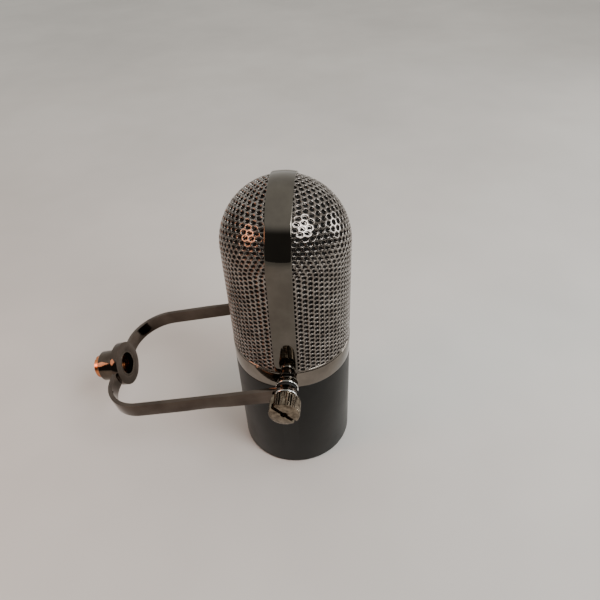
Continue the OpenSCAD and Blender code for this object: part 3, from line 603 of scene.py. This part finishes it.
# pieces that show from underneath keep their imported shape, with rounded edges
for node, name, material, slot, width in (
        ("bottom_plate", "bottomPlate", aluminium, "aluminium", 0.25),
        ("bottom_screws", "bottomScrews", zincSteel, "steel", 0.12),
        ("connector_barrel", "connectorBarrel", zincCasting, "zinc", 0.3),
        ("connector_insert", "connectorInsert", insertPlastic, "insert_plastic", 0.2),
        ("connector_pins", "connectorPins", goldPlate, "gold", 0.25),
        ("connector_lock_screw", "connectorLockScrew", zincSteel, "steel", 0.15)):
    addPiece(name, cadCopy(node, width, 2), material, "body", [node])

# CAD nodes that keep their own meshes
carried = [
    (screenMesh, ["left_screen", "right_screen"]),
    (zincSteel, ["inner_hoop", "bush_nuts", "deck_screws", "motor_screws", "strap_screws",
                 "transformer_strap"]),
    (brass, ["lower_pillars", "upper_pillars", "upper_clamp", "lower_clamp"]),
    (circuitBoard, ["circuit_board"]), (goldPlate, ["solder_posts"]), (aluminium, ["deck_plate"]),
    (rubber, ["motor_pad"]), (groundIron, ["motor_frame", "pole_pieces"]),
    (magnetPlate, ["bar_magnets", "clamp_screws"]), (foil, ["ribbon"]),
    (phenolic, ["clamp_insulators"]), (laminations, ["transformer_core"]),
    (coilTape, ["transformer_coil"]), (redWire, ["ribbon_leads"]), (paleWire, ["output_leads"])]
for material, names in carried:
    for node in names:
        cad = frame["nodes"][node]
        if not cad.material_slots:
            cad.data.materials.append(material)
        for place in cad.material_slots:
            place.material = material
print("carried-over nodes painted")


stageSize = {"floor": 6.0, "floorColour": "#d2d0cc", "floorTint": "#c5c3bf",
             "dim": "#4a4845", "bright": "#e6e3dd", "sky": 1.15}
floorMesh = bmesh.new()
bmesh.ops.create_grid(floorMesh, x_segments=1, y_segments=1, size=stageSize["floor"] / 2)
floorData = bpy.data.meshes.new("studioFloor")
floorMesh.to_mesh(floorData)
floorMesh.free()
# Studio background paper, uncoated: plain, pale and matt
floorData.materials.append(makeFinish("studioPaper", stageSize["floorColour"], stageSize["floorTint"],
                                      400, (0.7, 0.8), metal=0.0, spec=0.2))
studioFloor = bpy.data.objects.new("studioFloor", floorData)
bpy.context.scene.collection.objects.link(studioFloor)

world = bpy.data.worlds.new("studioSky")
bpy.context.scene.world = world
world.use_nodes = True
sky = world.node_tree                        # a broad soft ceiling that leans back, dim in front
skyWay = addNode(sky, "ShaderNodeTexCoord").outputs["Generated"]
skyTilt = addNode(sky, "ShaderNodeVectorMath", {0: skyWay, 1: (0, 0.5, 0.87)},
                  operation="DOT_PRODUCT")
skyShare = addNode(sky, "ShaderNodeMapRange", {"Value": skyTilt.outputs["Value"],
                                               "From Min": 0.2, "From Max": 0.5},
                   interpolation_type="SMOOTHSTEP")
skyTint = addNode(sky, "ShaderNodeMix", {0: skyShare.outputs["Result"],
                                         6: linearColour(stageSize["dim"]),
                                         7: linearColour(stageSize["bright"])}, data_type="RGBA")
sky.links.new(skyTint.outputs[2], sky.nodes["Background"].inputs["Color"])
sky.nodes["Background"].inputs["Strength"].default_value = stageSize["sky"]

lamps = [  # name, place, aim, size, watts, colour
    ("keyBox", (0.6, -0.45, 0.9), (0, 0, 0.12), 0.45, 9, "#ffffff"),
    ("sideStrip", (0.9, 0.3, 0.3), (0, 0, 0.1), 0.35, 3, "#ffffff"),
    ("warmFill", (-0.75, -0.35, 0.5), (-0.05, 0, 0.1), 0.3, 2.6, "#ffb088")]
for name, place, aim, size, watts, colour in lamps:
    light = bpy.data.lights.new(name, "AREA")
    light.size, light.energy, light.color = size, watts, linearColour(colour)[:3]
    lamp = bpy.data.objects.new(name, light)
    lamp.location = place
    lamp.rotation_euler = (Vector(aim) - Vector(place)).to_track_quat("-Z", "Y").to_euler()
    bpy.context.scene.collection.objects.link(lamp)

lens = {"place": (0.03295, -0.25518, 0.3314), "right": (0.99672, 0.07123, -0.0384),
        "up": (-0.0165, 0.64349, 0.76528), "ahead": (-0.07923, 0.76213, -0.64255), "focal": 32.64}
cameraData = bpy.data.cameras.new("studioCamera")
cameraData.lens, cameraData.sensor_width, cameraData.clip_start = lens["focal"], 36, 0.01
camera = bpy.data.objects.new("studioCamera", cameraData)
axes = Matrix((lens["right"], lens["up"], [-a for a in lens["ahead"]])).transposed()
camera.matrix_world = Matrix.Translation(lens["place"]) @ axes.to_4x4()
bpy.context.scene.collection.objects.link(camera)
bpy.context.scene.camera = camera
print("stage, lights and camera set")
